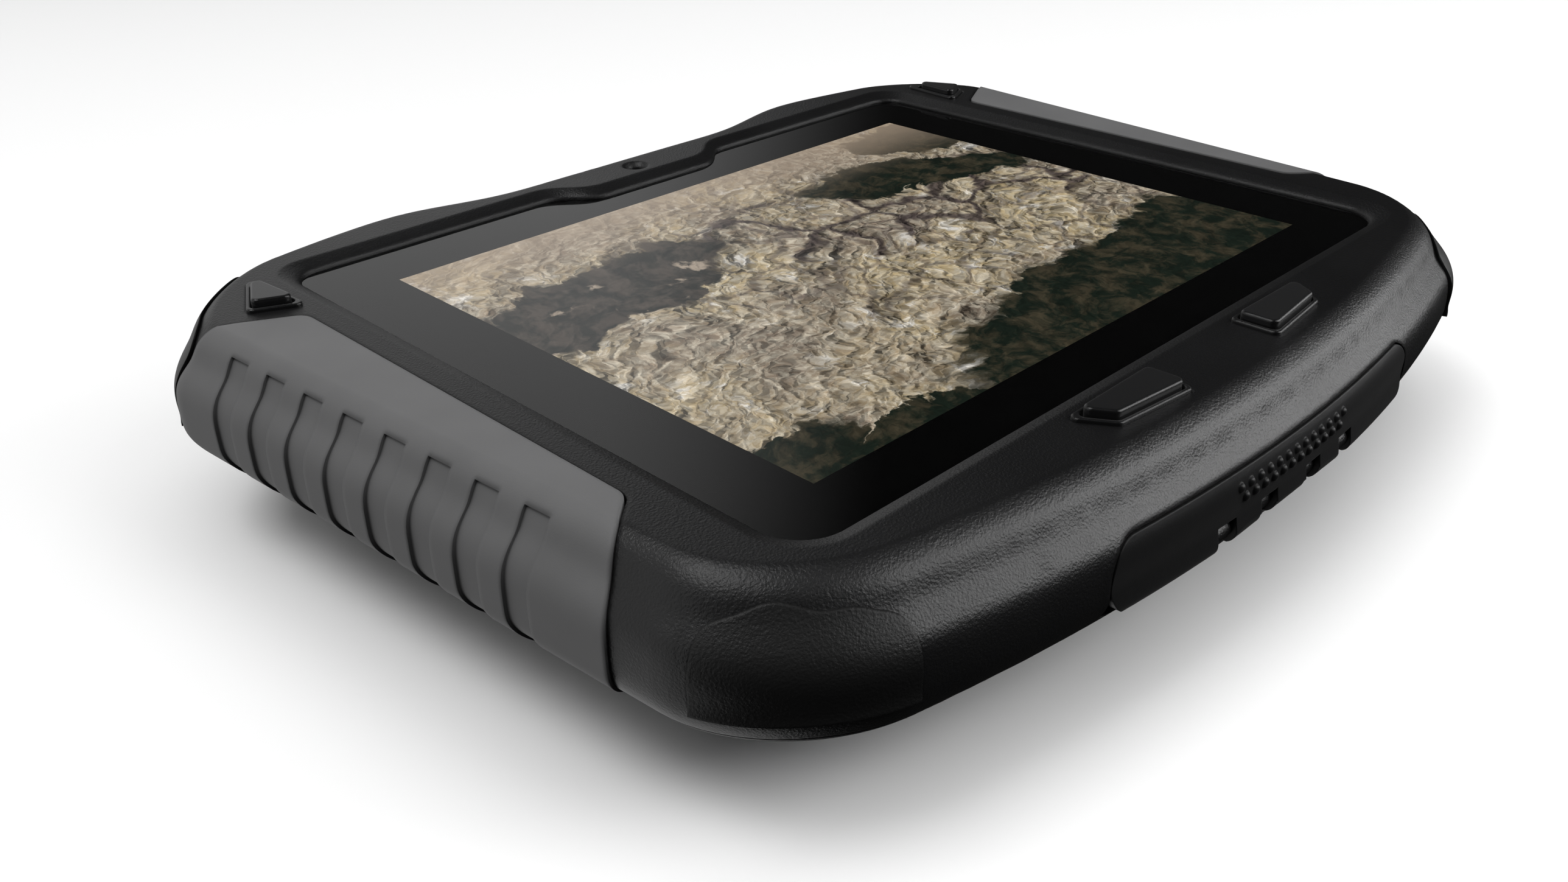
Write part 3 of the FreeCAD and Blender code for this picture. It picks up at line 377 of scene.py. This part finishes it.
def blend_colour(tree, factor, first, second):
    """Mixes two colours, each an output or a plain colour, and gives the result's output."""
    mix = tree.nodes.new("ShaderNodeMix")
    mix.data_type = "RGBA"
    sockets = [mix.inputs[0], mix.inputs[6], mix.inputs[7]]
    for socket, value in zip(sockets, (factor, first, second)):
        if hasattr(value, "is_output"):
            tree.links.new(value, socket)
        else:
            socket.default_value = value
    return mix.outputs[2]


def ramp_between(tree, value, low, high):
    """0 at low, 1 at high, smooth between them."""
    span = tree.nodes.new("ShaderNodeMapRange")
    span.interpolation_type = "SMOOTHSTEP"
    span.inputs["From Min"].default_value = low
    span.inputs["From Max"].default_value = high
    tree.links.new(value, span.inputs["Value"])
    return span.outputs["Result"]


def calculate(tree, operation, first, second):
    sum_step = tree.nodes.new("ShaderNodeMath")
    sum_step.operation = operation
    for socket, value in zip(sum_step.inputs, (first, second)):
        if hasattr(value, "is_output"):
            tree.links.new(value, socket)
        else:
            socket.default_value = value
    return sum_step.outputs[0]


def noise_at(tree, place, scale, detail, kind="FBM", roughness=0.55):
    noise = tree.nodes.new("ShaderNodeTexNoise")
    noise.noise_type = kind
    noise.inputs["Scale"].default_value = scale
    noise.inputs["Detail"].default_value = detail
    noise.inputs["Roughness"].default_value = roughness
    tree.links.new(place, noise.inputs["Vector"])
    return noise


def shifted(tree, place, offset, scale=(1.0, 1.0, 1.0), turn=0.0):
    mapping = tree.nodes.new("ShaderNodeMapping")
    mapping.inputs["Location"].default_value = offset
    mapping.inputs["Scale"].default_value = scale
    mapping.inputs["Rotation"].default_value = (0.0, 0.0, turn)
    tree.links.new(place, mapping.inputs["Vector"])
    return mapping.outputs["Vector"]


def wander(tree, place, scale, reach):
    """The same place, pushed about by a soft noise as far as reach in metres."""
    noise = noise_at(tree, place, scale, 6.0)
    centred = tree.nodes.new("ShaderNodeVectorMath")
    centred.operation = "SUBTRACT"
    centred.inputs[1].default_value = (0.5, 0.5, 0.5)
    tree.links.new(noise.outputs["Color"], centred.inputs[0])
    pushed = tree.nodes.new("ShaderNodeVectorMath")
    pushed.operation = "MULTIPLY_ADD"
    pushed.inputs[1].default_value = (2 * reach, 2 * reach, 0.0)
    tree.links.new(centred.outputs[0], pushed.inputs[0])
    tree.links.new(place, pushed.inputs[2])
    return pushed.outputs[0]


def patch(tree, place, centre, radii, turn):
    """1 inside an oval patch with a soft rim, 0 outside it."""
    moved = tree.nodes.new("ShaderNodeVectorMath")
    moved.operation = "SUBTRACT"
    moved.inputs[1].default_value = (*centre, 0.0)
    tree.links.new(place, moved.inputs[0])
    scale = (1.0 / radii[0], 1.0 / radii[1], 0.0)
    oval = shifted(tree, shifted(tree, moved.outputs[0], (0, 0, 0), turn=-turn), (0, 0, 0), scale)
    length = tree.nodes.new("ShaderNodeVectorMath")
    length.operation = "LENGTH"
    tree.links.new(oval, length.inputs[0])
    return ramp_between(tree, length.outputs["Value"], 1.06, 0.94)


brown_earth = (0.17, 0.13, 0.095, 1.0)
tan_earth = (0.34, 0.265, 0.145, 1.0)
pale_dust = (0.44, 0.40, 0.32, 1.0)
chalk_white = (0.58, 0.56, 0.52, 1.0)
gorge_shadow = (0.060, 0.046, 0.045, 1.0)
conifer_green = (0.008, 0.013, 0.009, 1.0)
clearing_brown = (0.050, 0.042, 0.026, 1.0)
basin_dark = (0.017, 0.019, 0.017, 1.0)
basin_brown = (0.066, 0.055, 0.046, 1.0)
salt_tan = (0.34, 0.28, 0.22, 1.0)
haze_tan = (0.40, 0.315, 0.235, 1.0)
frame_black = (0.002, 0.002, 0.002, 1.0)
lit_half_x = 0.05760
lit_half_y = 0.04420
lit_rim = 0.00010


def gully_net(tree, place, scale):
    """The distance to the nearest edge between warped cells: lines that wind and join like gullies."""
    cells = tree.nodes.new("ShaderNodeTexVoronoi")
    cells.feature = "DISTANCE_TO_EDGE"
    cells.inputs["Scale"].default_value = scale
    tree.links.new(place, cells.inputs["Vector"])
    return cells.outputs["Distance"]


def aerial_view():
    material, shader = start_material("aerial_view", (0.02, 0.02, 0.02), 0.35)
    tree = material.node_tree
    place = tree.nodes.new("ShaderNodeTexCoord").outputs["Object"]
    flat = shifted(tree, place, (0, 0, 0), (1.0, 1.0, 0.0))
    bent = wander(tree, flat, 45.0, 0.006)
    rugged = wander(tree, bent, 220.0, 0.0022)

    # plateaus and gullies, lit from the upper left by the slope between two samples
    winding = wander(tree, bent, 110.0, 0.0050)
    relief = 0.95
    for laid_on, scale, reach, strength in [(winding, 60.0, 0.0008, 4.5), (rugged, 240.0, 0.00022, 6.0),
                                               (rugged, 600.0, 0.00009, 5.0)]:
        aside = shifted(tree, laid_on, (reach, -reach, 0))
        slope = calculate(tree, "SUBTRACT", gully_net(tree, laid_on, scale), gully_net(tree, aside, scale))
        relief = calculate(tree, "ADD", calculate(tree, "MULTIPLY", slope, strength), relief)
    here = noise_at(tree, bent, 90.0, 12.0, "RIDGED_MULTIFRACTAL", 0.7).outputs[0]
    there = noise_at(tree, shifted(tree, bent, (0.0004, -0.0004, 0)), 90.0, 12.0,
                     "RIDGED_MULTIFRACTAL", 0.7).outputs[0]
    slope = calculate(tree, "MULTIPLY", calculate(tree, "SUBTRACT", here, there), 2.4)
    relief = calculate(tree, "ADD", slope, relief)
    relief = calculate(tree, "MINIMUM", calculate(tree, "MAXIMUM", relief, 0.16), 2.2)

    broad = noise_at(tree, bent, 38.0, 5.0).outputs[0]
    fine = noise_at(tree, rugged, 520.0, 8.0, roughness=0.7).outputs[0]
    ground = blend_colour(tree, ramp_between(tree, broad, 0.38, 0.62),
                          brown_earth, tan_earth)
    ground = blend_colour(tree, ramp_between(tree, fine, 0.35, 0.72), ground, pale_dust)
    frost = noise_at(tree, rugged, 150.0, 9.0, roughness=0.72).outputs[0]
    near_rim = ramp_between(tree, broad, 0.40, 0.56)
    chalk = calculate(tree, "MULTIPLY", ramp_between(tree, frost, 0.53, 0.66), near_rim)
    ground = blend_colour(tree, chalk, ground, chalk_white)

    # the gorges: a net of deep cuts right of the middle, and finer ones all round it
    for laid_on, scale, width, centre, radii, depth in [
        (winding, 60.0, 0.075, (0.022, 0.010), (0.040, 0.017), 0.9),
        (rugged, 105.0, 0.080, (0.012, 0.004), (0.052, 0.028), 0.55),
    ]:
        country = patch(tree, wander(tree, bent, 60.0, 0.014), centre, radii, math.radians(-12))
        cut = ramp_between(tree, gully_net(tree, laid_on, scale), width, width * 0.2)
        gorge = calculate(tree, "MULTIPLY", calculate(tree, "MULTIPLY", cut, country), depth)
        ground = blend_colour(tree, gorge, ground, gorge_shadow)

    # woods: ragged dark patches, with brown clearings in them
    rough_place = wander(tree, wander(tree, rugged, 90.0, 0.007), 330.0, 0.0030)
    woods = patch(tree, rough_place, (0.026, -0.038), (0.052, 0.0155), math.radians(5))
    for centre, radii, turn in [
        ((0.036, 0.019), (0.024, 0.0085), -18),
        ((0.052, 0.034), (0.014, 0.008), -25),
        ((-0.055, -0.040), (0.010, 0.006), 20),
        ((-0.040, -0.045), (0.018, 0.004), 0),
    ]:
        woods = calculate(tree, "MAXIMUM", woods, patch(tree, rough_place, centre, radii, math.radians(turn)))
    mottle = noise_at(tree, rugged, 240.0, 8.0, roughness=0.65).outputs[0]
    trees = blend_colour(tree, ramp_between(tree, mottle, 0.42, 0.66),
                         conifer_green, clearing_brown)
    view = blend_colour(tree, woods, ground, trees)

    # a grey-brown basin on the left, flecked with pale salt
    basin = patch(tree, rough_place, (-0.040, 0.016), (0.027, 0.0105), math.radians(9))
    flecks = ramp_between(tree, noise_at(tree, rugged, 110.0, 6.0).outputs[0], 0.60, 0.66)
    basin_floor = blend_colour(tree, ramp_between(tree, mottle, 0.40, 0.62),
                               basin_dark, basin_brown)
    basin_floor = blend_colour(tree, flecks, basin_floor, salt_tan)
    view = blend_colour(tree, basin, view, basin_floor)

    # the woods and the basin lie flatter than the bare ground
    flatter = calculate(tree, "MULTIPLY", calculate(tree, "MAXIMUM", woods, basin), 0.65)
    level_light = calculate(tree, "MULTIPLY", calculate(tree, "SUBTRACT", 0.95, relief), flatter)
    relief = calculate(tree, "ADD", relief, level_light)
    shaded = tree.nodes.new("ShaderNodeVectorMath")
    shaded.operation = "SCALE"
    tree.links.new(view, shaded.inputs[0])
    tree.links.new(relief, shaded.inputs["Scale"])

    # haze towards the far edge
    split = tree.nodes.new("ShaderNodeSeparateXYZ")
    tree.links.new(flat, split.inputs[0])
    haze = calculate(tree, "MULTIPLY", ramp_between(tree, split.outputs["Y"], 0.022, 0.048), 0.72)
    view = blend_colour(tree, haze, shaded.outputs[0], haze_tan)

    # the black frame round the lit area
    from_middle_x = calculate(tree, "ABSOLUTE", split.outputs["X"], 0.0)
    from_middle_y = calculate(tree, "ABSOLUTE", split.outputs["Y"], 0.0)
    across = ramp_between(tree, from_middle_x, lit_half_x + lit_rim, lit_half_x)
    along = ramp_between(tree, from_middle_y, lit_half_y + lit_rim, lit_half_y)
    view = blend_colour(tree, calculate(tree, "MULTIPLY", across, along), frame_black, view)
    tree.links.new(view, shader.inputs["Emission Color"])
    shader.inputs["Emission Strength"].default_value = 1.0
    dots = texture(material, "Voronoi", 5000.0)
    emboss(material, shader, [(dots.outputs["Distance"], 0.000005)])
    return material


finish_nodes(aerial_view(), "display_panel")


# ---- Cover glass and its printed border ----
# One sheet of chemically hardened glass, optically bonded over the display. The
# underside is printed matt black all round the lit area.

ink_thickness = 0.00004


def printed_border():
    """Takes the underside of the glass, and cuts the lit area out of it."""
    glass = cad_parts["touch_glass"]
    border = glass.copy()
    border.data = glass.data.copy()
    border.name = "glass_print"
    border.parent = None
    border.matrix_world = Matrix.Identity(4)
    for key in list(border.keys()):
        if key.startswith("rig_"):
            del border[key]
    bpy.context.scene.collection.objects.link(border)
    bpy.context.view_layer.objects.active = border
    border.select_set(True)
    border.data.materials.clear()
    bpy.ops.object.mode_set(mode="EDIT")
    bpy.ops.mesh.select_all(action="SELECT")
    bpy.ops.mesh.remove_doubles(threshold=0.000005)
    bpy.ops.mesh.select_mode(type="FACE")
    bpy.ops.mesh.select_all(action="DESELECT")
    bpy.ops.object.mode_set(mode="OBJECT")
    underside = min(vertex.co.z for vertex in border.data.vertices)
    for face in border.data.polygons:
        face.select = face.normal.z > -0.9 or face.center.z > underside + 0.0001
    bpy.ops.object.mode_set(mode="EDIT")
    bpy.ops.mesh.delete(type="FACE")
    half_x = lit_half_x + lit_rim / 2
    half_y = lit_half_y + lit_rim / 2
    for point, normal in [((half_x, 0, 0), (1, 0, 0)), ((-half_x, 0, 0), (1, 0, 0)),
                          ((0, half_y, 0), (0, 1, 0)), ((0, -half_y, 0), (0, 1, 0))]:
        bpy.ops.mesh.select_all(action="SELECT")
        bpy.ops.mesh.bisect(plane_co=point, plane_no=normal)
    bpy.ops.mesh.select_all(action="DESELECT")
    bpy.ops.object.mode_set(mode="OBJECT")
    for face in border.data.polygons:
        face.select = abs(face.center.x) < half_x and abs(face.center.y) < half_y
    bpy.ops.object.mode_set(mode="EDIT")
    bpy.ops.mesh.delete(type="FACE")
    bpy.ops.object.mode_set(mode="OBJECT")
    ink = border.modifiers.new("ink", "SOLIDIFY")
    ink.thickness = ink_thickness
    ink.offset = -1.0
    bpy.ops.object.modifier_apply(modifier="ink")
    border.select_set(False)
    return border


def hardened_glass():
    material, shader = start_material("hardened_glass", (1.0, 1.0, 1.0), 0.02)
    shader.inputs["Transmission Weight"].default_value = 1.0
    shader.inputs["IOR"].default_value = 1.5
    smears = texture(material, "Noise", 28.0, (1.0, 2.2, 1.0))
    smears.inputs["Detail"].default_value = 5.0
    polish = material.node_tree.nodes.new("ShaderNodeMapRange")
    polish.inputs["To Min"].default_value = 0.01
    polish.inputs["To Max"].default_value = 0.035
    material.node_tree.links.new(smears.outputs[0], polish.inputs["Value"])
    material.node_tree.links.new(polish.outputs["Result"], shader.inputs["Roughness"])
    return material


glass_print = printed_border()
print_ink = plain_moulding("print_ink", (0.0015, 0.0015, 0.0015), 0.8)
glass_print.data.materials.append(dulled(print_ink, 0.0))
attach(glass_print, "root")
finish_nodes(hardened_glass(), "touch_glass")
